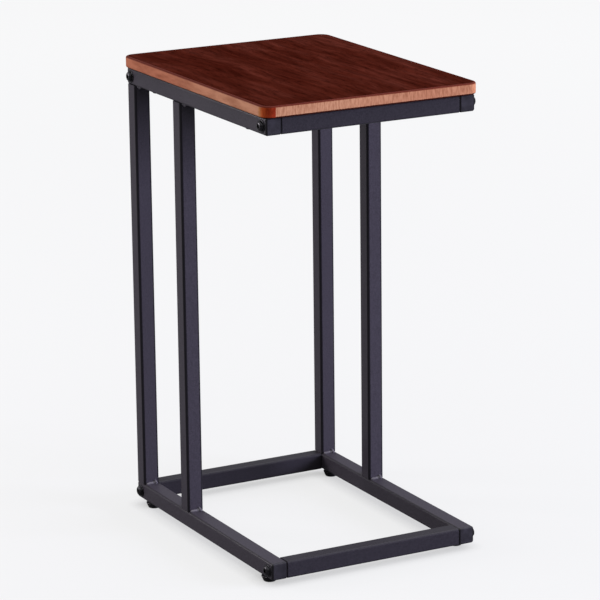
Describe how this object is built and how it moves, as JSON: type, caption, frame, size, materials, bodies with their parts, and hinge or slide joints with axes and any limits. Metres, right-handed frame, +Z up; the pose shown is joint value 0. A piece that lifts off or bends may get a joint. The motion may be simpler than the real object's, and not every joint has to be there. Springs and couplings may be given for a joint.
{
  "type": "c-shaped side table",
  "caption": "C-shaped side table: dark red-brown laminated board on a black square-tube frame whose base slides under a sofa, on levelling feet.",
  "frame": {"origin": "on the floor, under the middle of the top", "axes": "+X to the right across the width, -Y towards the open front of the C, +Y to the legs at the rear, +Z up"},
  "size_m": [0.302, 0.4, 0.61],
  "materials": {
    "black_powder_coat": "fine matt powder coat",
    "black_plastic": "moulded, satin",
    "zinc_plated_steel": "bright zinc",
    "black_oxide_steel": "black oxide, oiled",
    "particle_board": "raw",
    "mahogany_laminate": "satin wood-grain laminate",
    "backing_foil": "matt foil",
    "edge_band": "satin wood-grain edging"
  },
  "bodies": {
    "table": {"left_rear_leg": "black_powder_coat", "left_inner_leg": "black_powder_coat", "left_upper_rail": "black_powder_coat", "left_lower_rail": "black_powder_coat", "right_rear_leg": "black_powder_coat", "right_inner_leg": "black_powder_coat", "right_upper_rail": "black_powder_coat", "right_lower_rail": "black_powder_coat", "upper_front_crossbar": "black_powder_coat", "upper_rear_crossbar": "black_powder_coat", "lower_front_crossbar": "black_powder_coat", "lower_rear_crossbar": "black_powder_coat", "weld_beads": "black_powder_coat", "upper_front_left_crossbar_insert": "black_powder_coat", "upper_front_right_crossbar_insert": "black_powder_coat", "upper_rear_left_crossbar_insert": "black_powder_coat", "upper_rear_right_crossbar_insert": "black_powder_coat", "lower_front_left_crossbar_insert": "black_powder_coat", "lower_front_right_crossbar_insert": "black_powder_coat", "lower_rear_left_crossbar_insert": "black_powder_coat", "lower_rear_right_crossbar_insert": "black_powder_coat", "left_upper_front_end_cap": "black_plastic", "left_upper_rear_end_cap": "black_plastic", "left_lower_front_end_cap": "black_plastic", "left_lower_rear_end_cap": "black_plastic", "right_upper_front_end_cap": "black_plastic", "right_upper_rear_end_cap": "black_plastic", "right_lower_front_end_cap": "black_plastic", "right_lower_rear_end_cap": "black_plastic", "board_inserts": "zinc_plated_steel", "foot_nuts": "zinc_plated_steel", "frame_bolts": "black_oxide_steel", "board_screws": "black_oxide_steel", "top_core_board": "particle_board", "top_face_laminate": "mahogany_laminate", "top_backing_foil": "backing_foil", "top_edge_band": "edge_band"},
    "front_left_foot": {"front_left_foot_pad": "black_plastic"},
    "front_left_screw": {"front_left_foot_stud": "zinc_plated_steel"},
    "front_right_foot": {"front_right_foot_pad": "black_plastic"},
    "front_right_screw": {"front_right_foot_stud": "zinc_plated_steel"},
    "rear_left_foot": {"rear_left_foot_pad": "black_plastic"},
    "rear_left_screw": {"rear_left_foot_stud": "zinc_plated_steel"},
    "rear_right_foot": {"rear_right_foot_pad": "black_plastic"},
    "rear_right_screw": {"rear_right_foot_stud": "zinc_plated_steel"}
  },
  "joints": [
    {"name": "front_left_foot_height", "type": "slide", "parent": "table", "child": "front_left_foot", "axis": [0, 0, -1], "range_m": [0, 0.008]},
    {"name": "front_left_foot_turn", "type": "hinge", "parent": "front_left_foot", "child": "front_left_screw", "pos_m": [-0.135, -0.166, 0.005], "axis": [0, 0, -1], "range_deg": [0, 2880]},
    {"name": "front_right_foot_height", "type": "slide", "parent": "table", "child": "front_right_foot", "axis": [0, 0, -1], "range_m": [0, 0.008]},
    {"name": "front_right_foot_turn", "type": "hinge", "parent": "front_right_foot", "child": "front_right_screw", "pos_m": [0.135, -0.166, 0.005], "axis": [0, 0, -1], "range_deg": [0, 2880]},
    {"name": "rear_left_foot_height", "type": "slide", "parent": "table", "child": "rear_left_foot", "axis": [0, 0, -1], "range_m": [0, 0.008]},
    {"name": "rear_left_foot_turn", "type": "hinge", "parent": "rear_left_foot", "child": "rear_left_screw", "pos_m": [-0.135, 0.166, 0.005], "axis": [0, 0, -1], "range_deg": [0, 2880]},
    {"name": "rear_right_foot_height", "type": "slide", "parent": "table", "child": "rear_right_foot", "axis": [0, 0, -1], "range_m": [0, 0.008]},
    {"name": "rear_right_foot_turn", "type": "hinge", "parent": "rear_right_foot", "child": "rear_right_screw", "pos_m": [0.135, 0.166, 0.005], "axis": [0, 0, -1], "range_deg": [0, 2880]}
  ],
  "couplings": [
    {"joint": "front_left_foot_turn", "follows": "front_left_foot_height", "rad_per_m": 6283.2},
    {"joint": "front_right_foot_turn", "follows": "front_right_foot_height", "rad_per_m": 6283.2},
    {"joint": "rear_left_foot_turn", "follows": "rear_left_foot_height", "rad_per_m": 6283.2},
    {"joint": "rear_right_foot_turn", "follows": "rear_right_foot_height", "rad_per_m": 6283.2}
  ]
}
